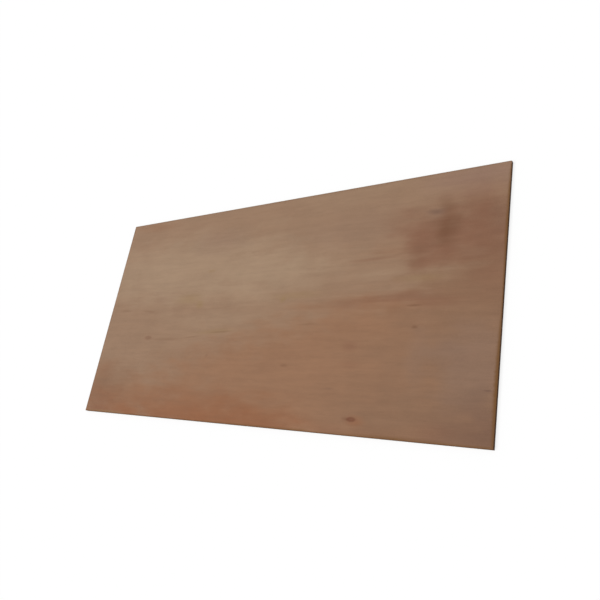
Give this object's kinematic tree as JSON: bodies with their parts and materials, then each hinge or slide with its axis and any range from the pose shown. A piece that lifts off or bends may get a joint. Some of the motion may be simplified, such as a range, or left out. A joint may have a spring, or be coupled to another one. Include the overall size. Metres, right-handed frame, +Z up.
{
  "type": "plywood sheet",
  "caption": "Full rectangular sheet of structural plywood with a warm reddish-brown face veneer and square-sawn edges that show the crossed plies.",
  "frame": {"origin": "centre of the back face, which the sheet lies on", "axes": "+X along the length and the face grain, +Y across the width, +Z up through the plies, out of the good face"},
  "size_m": [2.44, 1.22, 0.018],
  "materials": {
    "veneer": "unsealed tropical hardwood rotary-cut face veneer, sanded, dull, with darker sawn edges"
  },
  "bodies": {
    "root": {"plywood_sheet": "veneer"}
  },
  "joints": []
}
